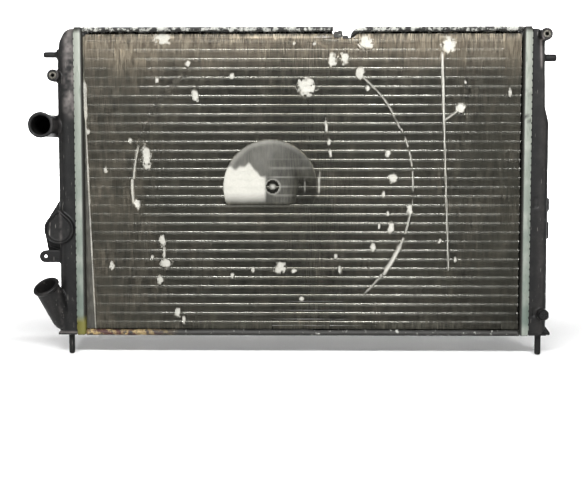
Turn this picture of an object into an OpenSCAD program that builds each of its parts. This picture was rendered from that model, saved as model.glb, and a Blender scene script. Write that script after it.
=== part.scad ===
/* [Core] */
// Width of the finned core between the two header plates
core_w = 585; // [580:1:590]
// Height of the core over its side plates
core_h = 413; // [413:1:418]
// Depth of the fins, front to back
core_d = 34; // [34:0.5:36]

/* [Tubes] */
// Outer diameter of a tube
tube_d = 8; // [7.6:0.1:8.2]
// Wall of a tube
tube_wall = 0.4; // [0.3:0.05:0.6]
// Height from one tube to the next in the same row
tube_pitch = 12.2; // [12.1:0.05:12.3]
// Distance between the front and rear rows of tubes
row_gap = 17; // [16:0.5:18]
// Height of the lowest front tube
first_tube_z = 17; // [16.5:0.5:17.5]
// Tubes in the front row below the baffle
lower_pass_tubes = 15; // [15:1:15]
// Tubes in the front row
front_tube_count = 32; // [32:1:32]

/* [Fins] */
// Fin plates in the pack, each as heavy as the thin fins it stands for
fin_count = 39; // [30:1:45]
// Thickness of a fin plate
fin_t = 1.1; // [0.8:0.1:1.4]
// Height of the fins' lower edge
fin_bottom = 9; // [9:0.5:9]

/* [Header plates] */
// Sheet thickness of a header plate
sheet_t = 1.5; // [1.2:0.1:1.6]
// Width of a header plate's pan, outwards from the core
pan_w = 12.4; // [12:0.1:13]
// Half of a pan's depth, front to back
pan_half_y = 22; // [21.5:0.1:22.5]
// Spacing of the crimp teeth
tooth_pitch = 9.3; // [9:0.1:10]
// Width of a crimp tooth
tooth_w = 7; // [6:0.1:8]

/* [Tanks] */
// Wall of a tank
tank_wall = 2.6; // [2.2:0.1:2.8]
// Half of a tank's depth, front to back
tank_half_y = 18; // [17.8:0.1:18.2]
// Radius of a tank's long outer edges
tank_edge_r = 12; // [10:0.5:13]
// Reach of the left tank from the middle of the core
left_reach = 329; // [328:0.5:331]
// Reach of the right tank's lower length
right_reach = 330; // [329:0.5:332]

/* [Hose spouts] */
// Outer radius of the upper hose spout
upper_spout_r = 15.1; // [14.6:0.1:15.4]
// Outer radius of the lower hose spout
lower_spout_r = 16.3; // [15.8:0.1:16.6]
// Wall of a hose spout
spout_wall = 2.5; // [2:0.1:3]
// Height of the upper hose spout
upper_spout_z = 282; // [278:1:286]
// How far the lower hose spout leans out of the vertical
lower_spout_lean = 36.3; // [35:0.1:38]
// Turn of the lower hose spout's lean towards the front
lower_spout_turn = -59.8; // [-62:0.1:-58]
// Length of the lower hose spout from its heel
lower_spout_len = 60; // [56:1:62]

/* [Locating pins and bosses] */
// Radius of the left bottom pin
left_pin_r = 4.05; // [4:0.05:4.2]
// Radius of the right bottom pin
right_pin_r = 4.3; // [4.2:0.05:4.4]
// Length of a bottom pin
pin_len = 28; // [24:1:30]
// Radius of the left side peg
left_peg_r = 4.1; // [4:0.05:4.2]
// Radius of the right side peg
right_peg_r = 5; // [4.8:0.05:5.1]
// Outer radius of a cowl boss
boss_r = 8.2; // [8:0.1:8.4]
// Outer radius of a boss's metal bush
bush_r = 4.8; // [4.6:0.1:5]
// Radius of the thread in a boss's bush
bush_bore_r = 2.6; // [2.5:0.05:2.7]

/* [Drain] */
// Radius of the drain plug's shank
plug_r = 4; // [3.9:0.05:4.1]
// Radius of the drain plug's head
plug_head_r = 5.6; // [5.4:0.1:5.8]

/* [Hidden] */
$fn = 48;

black_nylon = [0.13, 0.13, 0.13];
sage_metal = [0.66, 0.71, 0.65];
dusty_metal = [0.36, 0.36, 0.32];
bright_metal = [0.75, 0.75, 0.72];
worn_metal = [0.45, 0.45, 0.44];
rubber_black = [0.08, 0.08, 0.08];

// The frame stands on the left bottom pin's axis, at its shoulder.
left_pin_x = 316;
right_pin_x = 321;

// Places across the core, counted outwards from its middle.
sheet_x = core_w / 2;
pan_end = sheet_x + pan_w;
foot_out = pan_end - sheet_t;
foot_in = foot_out - 6.2;
mat_in = sheet_x + sheet_t;
mat_t = 1.2;
tube_end = foot_in + 1.3;
fit_gap = 0.3;
foot_half_y = pan_half_y - sheet_t - fit_gap;
foot_bottom = sheet_t + fit_gap;
foot_top = core_h - foot_bottom;
bore_half_y = tank_half_y - tank_wall;
fin_top = core_h - 9.5;
tube_r = tube_d / 2;
rear_tube_count = front_tube_count - 1;

// The baffle slopes between the staggered rows, from front to back.
baffle_slope = atan(tube_pitch / 2 / row_gap);
baffle_t = 2;
baffle_z = first_tube_z + (lower_pass_tubes - 0.25) * tube_pitch;

// Heights of the tubes in a row.
function front_z(i) = first_tube_z + i * tube_pitch;
function rear_z(i) = front_z(i) + tube_pitch / 2;

// Arc points that round corner b of a path a, b, c.
function arc_at(a, b, c, r, n) =
    let (u = (a - b) / norm(a - b), v = (c - b) / norm(c - b))
    let (half = acos(u * v) / 2, sweep = 180 - 2 * half)
    let (m = b + (u + v) / norm(u + v) * r / sin(half))
    let (p = b + u * r / tan(half) - m, q = b + v * r / tan(half) - m)
    [for (k = [0 : n]) m + (sin((1 - k / n) * sweep) * p + sin(k / n * sweep) * q) / sin(sweep)];
// A closed path of [x, z, radius] with each corner rounded.
function rounded(path, n = 8) =
    let (flat = [for (q = path) [q[0], q[1]]], last = len(path))
    [for (i = [0 : last - 1]) each path[i][2] > 0
        ? arc_at(flat[(i + last - 1) % last], flat[i], flat[(i + 1) % last], path[i][2], n)
        : [flat[i]]];
// The same path moved inwards by the wall.
function inset(path, w) =
    [for (q = path) [q[0] - w, q[1] + (q[1] < core_h / 2 ? w : -w), max(q[2] - w, 0)]];

left_outline = [[foot_in, 2, 0], [left_reach - 3, 2, 8], [left_reach - 1, 60, 30],
    [left_reach, 350, 40], [left_reach - 4, 393, 16], [left_reach - 14, core_h - 2, 14],
    [foot_in, core_h - 2, 0]];
right_outline = [[foot_in, 2, 0], [right_reach - 2, 2, 12], [right_reach, 47, 30],
    [right_reach - 1, 286, 12], [right_reach - 7, 306, 12], [right_reach - 9, 396, 20],
    [right_reach - 14, core_h - 3, 9], [foot_in, core_h - 3, 0]];

// Puts the middle of the core beside the datum pin.
module at_datum() {
    translate([left_pin_x, 0, 0]) children();
}

// Builds the left-hand twin of what is drawn on the right.
module on_left() {
    mirror([1, 0, 0]) children();
}

// A cylinder that points forwards from y = back to y = front.
module forward_rod(x, z, r, back, front) {
    translate([x, back, z]) rotate([90, 0, 0]) cylinder(h = back - front, r = r);
}

// A cylinder that points outwards from x = from to x = to.
module outward_rod(z, r, from, to) {
    translate([from, 0, z]) rotate([0, 90, 0]) cylinder(h = to - from, r = r);
}

// An outline in X and Z, given a thickness from y = front to y = back.
module upright(front, back) {
    translate([0, back, 0]) rotate([90, 0, 0]) linear_extrude(height = back - front) children();
}

// A bar in plan with two round outer edges.
module round_bar(x_in, x_out, half_y, r) {
    translate([x_in, -half_y]) square([x_out - r - x_in, 2 * half_y]);
    translate([x_in, r - half_y]) square([x_out - x_in, 2 * (half_y - r)]);
    for (s = [-1, 1]) translate([x_out - r, s * (half_y - r)]) circle(r = r);
}

// One closed body of a tank: its plan and its outline crossed.
module tank_body(outline, reach, half_y, r) {
    intersection() {
        linear_extrude(height = core_h) round_bar(foot_in - tank_wall - 1, reach, half_y, r);
        upright(-half_y - 1, half_y + 1) polygon(rounded(outline));
    }
}

// The hollow inside a tank.
module tank_bore(outline, reach) {
    tank_body(inset(outline, tank_wall), reach - tank_wall, bore_half_y, tank_edge_r - tank_wall);
}

// The foot that the header plate grips.
module tank_foot() {
    translate([foot_in, -foot_half_y, foot_bottom])
        cube([foot_out - foot_in, 2 * foot_half_y, foot_top - foot_bottom]);
}

// A side peg with a chamfered tip.
module side_peg(z, r, from, to) {
    tip = 2;
    outward_rod(z, r, from, to - tip);
    translate([to - tip, 0, z]) rotate([0, 90, 0]) cylinder(h = tip, r1 = r, r2 = r - 1.2);
}

// A bottom pin with a chamfered tip.
module bottom_pin(x, r) {
    tip = 2;
    translate([x, 0, tip - pin_len]) cylinder(h = pin_len - tip + 3, r = r);
    translate([x, 0, -pin_len]) cylinder(h = tip, r1 = r - 1.5, r2 = r);
}

// The bead that keeps a hose on its spout.
module hose_bead(r, z) {
    bead = 2.1;
    translate([0, 0, z]) rotate_extrude()
        polygon([[r - 1, -5], [r, -5], [r + bead, -3], [r + bead, -1.2], [r + 1, 0], [r - 1, 0]]);
}

upper_spout_tip = -62;
elbow_r = 22;
elbow_x = 318;
upper_spout_x = elbow_x + elbow_r;

// The upper hose spout's elbow and straight, solid at radius r.
module upper_spout_path(r, start, tip) {
    outward_rod(upper_spout_z, r, start, elbow_x);
    translate([elbow_x, -elbow_r, upper_spout_z])
        rotate_extrude(angle = 90) translate([elbow_r, 0]) circle(r = r);
    forward_rod(upper_spout_x, upper_spout_z, r, -elbow_r, tip);
}

// The lower hose spout's heel, where its lean meets the tank.
heel_x = 326;
heel_y = -1;
heel_z = lower_spout_r + 4.2;

module at_heel() {
    translate([heel_x, heel_y, heel_z]) rotate([0, lower_spout_lean, lower_spout_turn]) children();
}

// The lower hose spout with its round heel, solid at radius r. Each stretch
// is a little slimmer than the one outside it.
module lower_spout_path(r, start, length) {
    step = 0.4;
    at_heel() cylinder(h = length, r = r);
    translate([heel_x, heel_y, heel_z]) sphere(r = r - step);
    translate([start, heel_y, heel_z]) rotate([0, 90, 0])
        cylinder(h = heel_x - start, r = r - 2 * step);
}

dish_x = 327;
dish_z = 144;
dish_r = 20;

// A drop outline: a disc drawn up to a point.
module drop(r, rise) {
    side = r * sqrt(1 - (r / rise) * (r / rise));
    circle(r = r);
    polygon([[-side, r * r / rise], [side, r * r / rise], [0, rise]]);
}

// The blank sensor port: a drop-shaped dish on a webbed plate.
module blank_port() {
    upright(-24, -2) translate([dish_x, dish_z]) drop(dish_r, 27);
    upright(1, 5) polygon([[322, 192], [left_reach - 1, 187], [348, 155], [352, 144], [351, 133],
        [347, 112], [322, 112]]);
    upright(-2, 1) polygon([[322, 160], [340, 158], [346, 146], [345, 120], [322, 112]]);
}

module blank_port_recess() {
    upright(-25, -20.5) translate([dish_x, dish_z]) drop(dish_r - 3, 23);
}

lug_x = 348;
lug_z = 106.5;
lug_hole_r = 2.3;

// The drilled lug of the cowl, below the blank port.
module cowl_lug() {
    difference() {
        union() {
            forward_rod(lug_x, lug_z, 8.5, -6, -12);
            translate([320, -12, lug_z - 8.5]) cube([lug_x - 320, 6, 17]);
        }
        forward_rod(lug_x, lug_z, lug_hole_r, -5, -13);
    }
}

left_boss_x = 330.5;
left_boss_z = 348.5;
right_boss_x = 320;
right_boss_z = 401;
left_boss_front = -29;
right_boss_front = -34;
bush_len = 13;

// A cowl boss with a web down to the tank.
module cowl_boss(x, z, front, back) {
    forward_rod(x, z, boss_r, back, front);
    translate([x - boss_r, -16, z - boss_r]) cube([boss_r, 16, boss_r]);
}

module left_tank_solid() {
    difference() {
        union() {
            tank_body(left_outline, left_reach, tank_half_y, tank_edge_r);
            tank_foot();
            upper_spout_path(upper_spout_r, 310, upper_spout_tip);
            outward_rod(upper_spout_z, upper_spout_r + 2, 310, left_reach - 2);
            translate([upper_spout_x, upper_spout_tip, upper_spout_z]) rotate([90, 0, 0])
                hose_bead(upper_spout_r, 0);
            lower_spout_path(lower_spout_r, 312, lower_spout_len);
            at_heel() hose_bead(lower_spout_r, lower_spout_len);
            at_heel() translate([0, lower_spout_r - 1, 18]) cube([4, 4, 4]);
            blank_port();
            cowl_lug();
            cowl_boss(left_boss_x, left_boss_z, left_boss_front, -3);
            side_peg(378, left_peg_r, 322, 349);
            outward_rod(378, 8, 322, left_reach + 1.5);
            bottom_pin(left_pin_x, left_pin_r);
            translate([306, -15, 0]) cube([left_reach - 304, 30, 4]);
        }
        tank_bore(left_outline, left_reach);
        upper_spout_path(upper_spout_r - spout_wall, 308, upper_spout_tip - 6);
        lower_spout_path(lower_spout_r - spout_wall, 312, lower_spout_len + 6);
        blank_port_recess();
        forward_rod(left_boss_x, left_boss_z, bush_r, left_boss_front + bush_len,
            left_boss_front - 1);
    }
}

drain_x = 322.5;
drain_z = 30;
drain_front = -30;
drain_r = 7.6;
drain_recess = 3.2;
running_gap = 0.05;

// Ribs and clip rails on the right tank's outer side.
module clip_rails() {
    for (z = [[168, 18], [131, 22]])
        translate([right_reach - 6, -4, z[0]]) cube([9.5, 8, z[1]]);
    translate([right_reach - 6, -2.5, 150]) cube([7.5, 5, 24]);
    translate([right_reach - 4, -1.5, 78]) cube([5, 3, 37]);
}

// The right tank's drain, with its bore through to the hollow.
module drain_bore() {
    forward_rod(drain_x, drain_z, plug_r + running_gap, -8, drain_front - 1);
    forward_rod(drain_x, drain_z, plug_head_r + 1, drain_front + drain_recess, drain_front - 1);
}

module right_tank_solid() {
    difference() {
        union() {
            tank_body(right_outline, right_reach, tank_half_y, tank_edge_r);
            tank_foot();
            cowl_boss(right_boss_x, right_boss_z, right_boss_front, -12);
            forward_rod(drain_x, drain_z, drain_r, -10, drain_front);
            side_peg(373, right_peg_r, 314, 340);
            outward_rod(373, 7.5, 314, right_reach - 6.5);
            clip_rails();
            bottom_pin(right_pin_x, right_pin_r);
            translate([306, -15, 0]) cube([right_reach - 306, 30, 3]);
            upright(-10, 10) polygon([[right_reach - 6, 0], [336, 0], [336, 3],
                [right_reach, 11], [right_reach - 6, 11]]);
        }
        tank_bore(right_outline, right_reach);
        drain_bore();
        forward_rod(right_boss_x, right_boss_z, bush_r, right_boss_front + bush_len,
            right_boss_front - 1);
        translate([308, -tank_half_y - 1, 172]) cube([8, 2.2, 16]);
        translate([309, -tank_half_y - 1, 26]) cube([5, 2.2, 12]);
    }
}

module left_tank() {
    color(black_nylon) at_datum() on_left() left_tank_solid();
}

module right_tank() {
    color(black_nylon) at_datum() right_tank_solid();
}

// All tube places in a header, as discs in plan.
module tube_discs(r) {
    for (i = [0 : front_tube_count - 1]) translate([-row_gap / 2, front_z(i)]) circle(r = r);
    for (i = [0 : rear_tube_count - 1]) translate([row_gap / 2, rear_z(i)]) circle(r = r);
}

// An outline in Y and Z, given a thickness outwards from x.
module plate_at(x, t) {
    translate([x, 0, 0]) rotate([90, 0, 90]) linear_extrude(height = t) children();
}

// A rectangle in Y and Z about the core's middle depth.
module panel(half_y, bottom, top) {
    translate([-half_y, bottom]) square([2 * half_y, top - bottom]);
}

// The teeth that fold over the tank's foot.
module crimp_teeth() {
    tooth_count = floor((core_h - 8) / tooth_pitch);
    first = (core_h - tooth_count * tooth_pitch + tooth_pitch - tooth_w) / 2;
    reach = 3.4;
    for (s = [0, 1]) mirror([0, s, 0])
        for (k = [0 : tooth_count - 1])
            translate([foot_out, -pan_half_y, first + k * tooth_pitch])
                cube([sheet_t, reach, tooth_w]);
}

module header_plate() {
    difference() {
        plate_at(sheet_x, foot_out - sheet_x) panel(pan_half_y, 0, core_h);
        plate_at(mat_in, pan_w) panel(pan_half_y - sheet_t, sheet_t, core_h - sheet_t);
        plate_at(sheet_x - 1, sheet_t + 2) tube_discs(tube_r);
    }
    crimp_teeth();
}

module left_header_plate() {
    color(sage_metal) at_datum() on_left() header_plate();
}

module right_header_plate() {
    color(sage_metal) at_datum() header_plate();
}

// A slab across a tank at the baffle's slope.
module sloping_slab(t, x_in, x_out) {
    translate([x_in, 0, baffle_z]) rotate([baffle_slope, 0, 0])
        translate([0, -40, -t / 2]) cube([x_out - x_in, 80, t]);
}

// The seal: a mat round every tube end, with a bead under the tank's foot.
module gasket() {
    plate_at(mat_in, mat_t) difference() {
        panel(foot_half_y, foot_bottom, foot_top);
        tube_discs(tube_r);
    }
    plate_at(mat_in, foot_in - mat_in) difference() {
        panel(foot_half_y, foot_bottom, foot_top);
        panel(bore_half_y, foot_bottom + 4.5, foot_top - 4.5);
    }
}

module left_gasket() {
    color(rubber_black) at_datum() on_left() {
        gasket();
        intersection() {
            sloping_slab(baffle_t + 0.6, mat_in + mat_t, foot_in);
            plate_at(mat_in, pan_w) panel(bore_half_y, foot_bottom, foot_top);
        }
    }
}

module right_gasket() {
    color(rubber_black) at_datum() gasket();
}

// The loose plate that splits the left tank into an inlet and an outlet end.
module flow_baffle() {
    color(black_nylon) at_datum() on_left() intersection() {
        sloping_slab(baffle_t, foot_in, left_reach - tank_wall - 0.8);
        linear_extrude(height = core_h) round_bar(foot_in, left_reach - tank_wall - 0.8,
            bore_half_y - 0.1, tank_edge_r - tank_wall);
    }
}

// Thin tubes through both header plates, at each height in the list.
module tubes(y, heights) {
    for (z = heights) translate([-tube_end, y, z]) rotate([0, 90, 0]) difference() {
        cylinder(h = 2 * tube_end, r = tube_r);
        translate([0, 0, -1]) cylinder(h = 2 * tube_end + 2, r = tube_r - tube_wall);
    }
}

// Folded strips that stir the coolant inside the tubes.
module turbulators(y, heights) {
    folds = 18;
    swing = 2.2;
    strip_t = 0.4;
    strip_w = 4.4;
    fold_len = 2 * (tube_end - 4) / folds;
    ridge = [for (k = [0 : folds]) [k * fold_len - tube_end + 4, k % 2 == 0 ? -swing : swing]];
    under = [for (k = [folds : -1 : 0]) ridge[k] - [0, strip_t]];
    for (z = heights) translate([0, y, z]) upright(-strip_w / 2, strip_w / 2)
        polygon(concat(ridge, under));
}

upper_front = [for (i = [lower_pass_tubes : front_tube_count - 1]) front_z(i)];
lower_front = [for (i = [0 : lower_pass_tubes - 1]) front_z(i)];
upper_rear = [for (i = [lower_pass_tubes : rear_tube_count - 1]) rear_z(i)];
lower_rear = [for (i = [0 : lower_pass_tubes - 1]) rear_z(i)];

module upper_front_tubes() {
    color(bright_metal) at_datum() tubes(-row_gap / 2, upper_front);
}

module upper_rear_tubes() {
    color(bright_metal) at_datum() tubes(row_gap / 2, upper_rear);
}

module lower_front_tubes() {
    color(bright_metal) at_datum() tubes(-row_gap / 2, lower_front);
}

module lower_rear_tubes() {
    color(bright_metal) at_datum() tubes(row_gap / 2, lower_rear);
}

module upper_front_turbulators() {
    color(worn_metal) at_datum() turbulators(-row_gap / 2, upper_front);
}

module upper_rear_turbulators() {
    color(worn_metal) at_datum() turbulators(row_gap / 2, upper_rear);
}

module lower_front_turbulators() {
    color(worn_metal) at_datum() turbulators(-row_gap / 2, lower_front);
}

module lower_rear_turbulators() {
    color(worn_metal) at_datum() turbulators(row_gap / 2, lower_rear);
}

// Upright fin plates that every tube passes through.
module fins() {
    fin_pitch = core_w / fin_count;
    color(dusty_metal) at_datum()
        for (k = [0 : fin_count - 1])
            plate_at((k + 0.5) * fin_pitch - core_w / 2 - fin_t / 2, fin_t) difference() {
                panel(core_d / 2, fin_bottom, fin_top);
                tube_discs(tube_r);
            }
}

// A side plate's section: a web with two lips and two beads that bear on the fins.
module side_section(lip, depth) {
    half = core_d / 2 + 2;
    t = 1.2;
    translate([-half, -t]) square([2 * half, t]);
    for (s = [-1, 1]) {
        translate([s * (half - t / 2) - t / 2, -lip]) square([t, lip]);
        translate([s * 8 - 2.4, -depth]) square([4.8, t]);
        translate([s * 8 - 2.4, -depth]) square([t, depth]);
        translate([s * 8 + 2.4 - t, -depth]) square([t, depth]);
    }
}

// The upper side plate, torn open beside its middle.
module upper_side_plate() {
    color(worn_metal) at_datum() difference() {
        translate([0, 0, core_h]) plate_at(-sheet_x, core_w) side_section(6.5, core_h - fin_top);
        upright(-30, 30) polygon([[41, core_h + 1], [43, fin_top - 1], [64, fin_top - 1],
            [71, fin_top + 2], [77, core_h + 1]]);
    }
}

module lower_side_plate() {
    color(worn_metal) at_datum() mirror([0, 0, 1])
        plate_at(-sheet_x, core_w) side_section(8, fin_bottom);
}

// A threaded metal bush in a cowl boss.
module bush(x, z, front) {
    difference() {
        forward_rod(x, z, bush_r, front + bush_len, front - 0.4);
        forward_rod(x, z, bush_bore_r, front + bush_len + 1, front - 1);
    }
}

module upper_left_bush() {
    color(bright_metal) at_datum() on_left() bush(left_boss_x, left_boss_z, left_boss_front);
}

module upper_right_bush() {
    color(bright_metal) at_datum() bush(right_boss_x, right_boss_z, right_boss_front);
}

plug_head_t = 2.2;
seal_wire_r = 0.7;
head_back = drain_front + drain_recess - 2 * seal_wire_r;

// The drain plug: a shank under a cross-slotted head.
module drain_plug() {
    slot_w = 1.3;
    slot_l = 7.5;
    color(black_nylon) at_datum() difference() {
        union() {
            forward_rod(drain_x, drain_z, plug_head_r, head_back, head_back - plug_head_t);
            forward_rod(drain_x, drain_z, plug_r, drain_front + 17, head_back - 0.5);
        }
        for (turn = [0, 90]) translate([drain_x, head_back - plug_head_t, drain_z])
            rotate([0, turn, 0]) translate([-slot_l / 2, -1, -slot_w / 2])
                cube([slot_l, 2.4, slot_w]);
    }
}

// The drain's rubber ring, pinched under the plug's head.
module drain_seal() {
    color(rubber_black) at_datum() translate([drain_x, drain_front + drain_recess, drain_z])
        rotate([90, 0, 0]) rotate_extrude()
            translate([plug_r + running_gap + seal_wire_r, seal_wire_r]) circle(r = seal_wire_r);
}

left_tank();
right_tank();
left_header_plate();
right_header_plate();
left_gasket();
right_gasket();
flow_baffle();
upper_front_tubes();
upper_rear_tubes();
lower_front_tubes();
lower_rear_tubes();
upper_front_turbulators();
upper_rear_turbulators();
lower_front_turbulators();
lower_rear_turbulators();
fins();
upper_side_plate();
lower_side_plate();
upper_left_bush();
upper_right_bush();
drain_plug();
drain_seal();
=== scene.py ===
"""A used car radiator with a round-tube core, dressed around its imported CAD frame."""
import math

import bmesh
import bpy
import numpy as np
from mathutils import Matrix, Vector


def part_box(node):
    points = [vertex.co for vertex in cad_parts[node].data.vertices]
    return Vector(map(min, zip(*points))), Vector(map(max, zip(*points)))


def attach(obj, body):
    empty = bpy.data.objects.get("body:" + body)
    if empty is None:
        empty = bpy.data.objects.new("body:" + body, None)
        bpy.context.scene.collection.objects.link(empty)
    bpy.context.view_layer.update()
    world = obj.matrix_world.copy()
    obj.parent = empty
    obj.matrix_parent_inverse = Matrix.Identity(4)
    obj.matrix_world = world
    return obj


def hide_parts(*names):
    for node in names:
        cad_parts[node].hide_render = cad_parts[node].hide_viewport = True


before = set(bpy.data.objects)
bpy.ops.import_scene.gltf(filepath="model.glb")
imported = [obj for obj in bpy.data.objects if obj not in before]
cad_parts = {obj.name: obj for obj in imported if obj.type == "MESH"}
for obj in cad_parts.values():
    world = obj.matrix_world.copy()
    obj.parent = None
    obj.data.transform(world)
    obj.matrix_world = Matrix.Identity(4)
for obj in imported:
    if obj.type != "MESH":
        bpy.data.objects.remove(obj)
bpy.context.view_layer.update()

MM = 0.001
BODY = "radiator"


# ------------------------------------------------------------ places, in mm from the core's middle
def box_mm(node):
    """The low and high corners of a CAD node's box, in millimetres of the frame."""
    low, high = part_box(node)
    return np.array(low) / MM, np.array(high) / MM


LEFT_PAN_LOW, LEFT_PAN_HIGH = box_mm("left_header_plate")
RIGHT_PAN_LOW, RIGHT_PAN_HIGH = box_mm("right_header_plate")
FINS_LOW, FINS_HIGH = box_mm("fins")
MID_X = (LEFT_PAN_LOW[0] + RIGHT_PAN_HIGH[0]) / 2
PAN_INNER = (RIGHT_PAN_LOW[0] - LEFT_PAN_HIGH[0]) / 2
PAN_OUTER = (RIGHT_PAN_HIGH[0] - LEFT_PAN_LOW[0]) / 2
PAN_HALF_Y, PAN_TOP = RIGHT_PAN_HIGH[1], RIGHT_PAN_HIGH[2]
FIN_END = PAN_INNER - 1.2
FIN_FRONT, FIN_BACK = FINS_LOW[1], FINS_HIGH[1]
FIN_FOOT, FIN_TOP = FINS_LOW[2], FINS_HIGH[2]
FLOOR_Z = box_mm("left_tank")[0][2] * MM


def srgb(code):
    """An sRGB hex value as the linear colour that the nodes take."""
    parts = [int(code[i:i + 2], 16) / 255 for i in (1, 3, 5)]
    linear = [c / 12.92 if c <= 0.04045 else ((c + 0.055) / 1.055) ** 2.4 for c in parts]
    return (*linear, 1.0)


def soft_noise(x, z, grain, seed):
    """Soft noise from -1 to 1 over arrays of places, with a grain in millimetres."""
    lattice = np.random.default_rng(seed).uniform(-1, 1, (256, 256))
    gx, gz = np.asarray(x) / grain + 900, np.asarray(z) / grain + 900
    ix, iz = np.floor(gx).astype(int), np.floor(gz).astype(int)
    fx, fz = gx - ix, gz - iz
    fx, fz = fx * fx * (3 - 2 * fx), fz * fz * (3 - 2 * fz)
    corner = [[lattice[(ix + i) % 256, (iz + j) % 256] for j in (0, 1)] for i in (0, 1)]
    low = corner[0][0] * (1 - fx) + corner[1][0] * fx
    high = corner[0][1] * (1 - fx) + corner[1][1] * fx
    return low * (1 - fz) + high * fz


def rise(value, start, end):
    """0 before start, 1 after end, and smooth between."""
    t = np.clip((value - start) / (end - start), 0, 1)
    return t * t * (3 - 2 * t)


# ------------------------------------------------------------ materials
def add(tree, kind, inputs=None, **settings):
    """Adds a node, sets it up, and fills or links its inputs. A text input is an sRGB hex value."""
    made = tree.nodes.new(kind)
    for key, value in settings.items():
        setattr(made, key, value)
    for key, value in (inputs or {}).items():
        if isinstance(value, bpy.types.NodeSocket):
            tree.links.new(value, made.inputs[key])
        else:
            made.inputs[key].default_value = srgb(value) if isinstance(value, str) else value
    return made


def new_finish(name, metallic=0.0, roughness=0.5, specular=0.5):
    """An empty material: its tree, its shader and its Object coordinates."""
    finish = bpy.data.materials.new(name)
    finish.use_nodes = True
    tree = finish.node_tree
    tree.nodes.clear()
    shader = add(tree, "ShaderNodeBsdfPrincipled", {"Metallic": metallic, "Roughness": roughness,
                                                     "Specular IOR Level": specular})
    add(tree, "ShaderNodeOutputMaterial", {"Surface": shader.outputs[0]})
    where = add(tree, "ShaderNodeTexCoord").outputs["Object"]
    return finish, tree, shader, where


def close_finish(finish, shader, colour, height, strength, deep, **others):
    """Links the shader's colour, its relief as bump, and any other inputs by their names."""
    tree = finish.node_tree
    relief = add(tree, "ShaderNodeBump", {"Height": height, "Strength": strength,
                                          "Distance": deep})
    for key, socket in {"Base Color": colour, "Normal": relief.outputs[0], **others}.items():
        tree.links.new(socket, shader.inputs[key])
    return finish


def grain_per_m(size_mm):
    """The texture scale that draws features of this size on coordinates in metres."""
    return 1000 / size_mm


def fin_finish():
    """Thin aluminium fin stock, rolled and stamped, then dulled by years of road dust. It is a dull
    olive grey, tan where dust lies thick, near black with dirt and with painted shade above the
    lower plate, under the upper plate and low on the right, and near white where it is rubbed,
    with painted highlight lines across the hub."""
    finish, tree, shader, where = new_finish("stamped_fin_stock", roughness=0.62)
    broad = add(tree, "ShaderNodeTexNoise", {"Vector": where, "Scale": grain_per_m(70),
                                             "Detail": 3.0}).outputs[0]
    thick = add(tree, "ShaderNodeAttribute", attribute_name="dust").outputs["Fac"]
    bared_and_glint = add(tree, "ShaderNodeAttribute", attribute_name="bared_and_glint").outputs["Fac"]
    upright = add(tree, "ShaderNodeMapping", {"Vector": where,
                                              "Scale": (1.0, 1.0, 0.12)}).outputs[0]
    thread = add(tree, "ShaderNodeTexNoise", {"Vector": upright, "Scale": grain_per_m(1.9),
                                              "Detail": 2.0}).outputs[0]
    shade = add(tree, "ShaderNodeMapRange", {"Value": thread, 1: 0.36, 2: 0.64}).outputs[0]
    dull = add(tree, "ShaderNodeMix", {0: shade, 6: "#22211b", 7: "#6f6d61"},
               data_type="RGBA").outputs[2]
    patchy = add(tree, "ShaderNodeMapRange", {"Value": broad, 1: 0.4, 2: 0.62}).outputs[0]
    mottled = add(tree, "ShaderNodeMix", {0: patchy, 6: dull, 7: "#56554b"},
                  data_type="RGBA").outputs[2]
    tan = add(tree, "ShaderNodeMix", {0: shade, 6: "#8b7e6d", 7: "#cbbfa8"},
              data_type="RGBA").outputs[2]
    dust_soot_and_shade = add(tree, "ShaderNodeMix", {0: thick, 6: mottled, 7: tan}, data_type="RGBA").outputs[2]
    fine = add(tree, "ShaderNodeTexNoise", {"Vector": where, "Scale": grain_per_m(1.2),
                                            "Detail": 3.0}).outputs[0]
    # Painted shade: this value darkens the fins to a near-black tone where shade falls, besides
    # real dirt.
    soot_and_shade = add(tree, "ShaderNodeAttribute", attribute_name="soot_and_shade").outputs["Fac"]
    soot_and_shade_colour = add(tree, "ShaderNodeMix", {0: shade, 6: "#201f19", 7: "#35342c"},
                data_type="RGBA").outputs[2]
    dust_soot_and_shade = add(tree, "ShaderNodeMix", {0: soot_and_shade, 6: dust_soot_and_shade, 7: soot_and_shade_colour}, data_type="RGBA").outputs[2]
    flecked = add(tree, "ShaderNodeMapRange", {"Value": fine, 1: 0.36, 2: 0.6}).outputs[0]
    bright = add(tree, "ShaderNodeMix", {0: flecked, 6: "#a19f97", 7: "#bdbcb4"},
                 data_type="RGBA").outputs[2]
    colour = add(tree, "ShaderNodeMix", {0: bared_and_glint, 6: dust_soot_and_shade, 7: bright},
                 data_type="RGBA").outputs[2]
    metal = add(tree, "ShaderNodeMapRange", {"Value": bared_and_glint, 3: 0.1, 4: 0.45}).outputs[0]
    rough = add(tree, "ShaderNodeMapRange", {"Value": fine, 3: 0.45, 4: 0.75}).outputs[0]
    return close_finish(finish, shader, colour, fine, 0.3, 0.0001, Metallic=metal, Roughness=rough)


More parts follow.
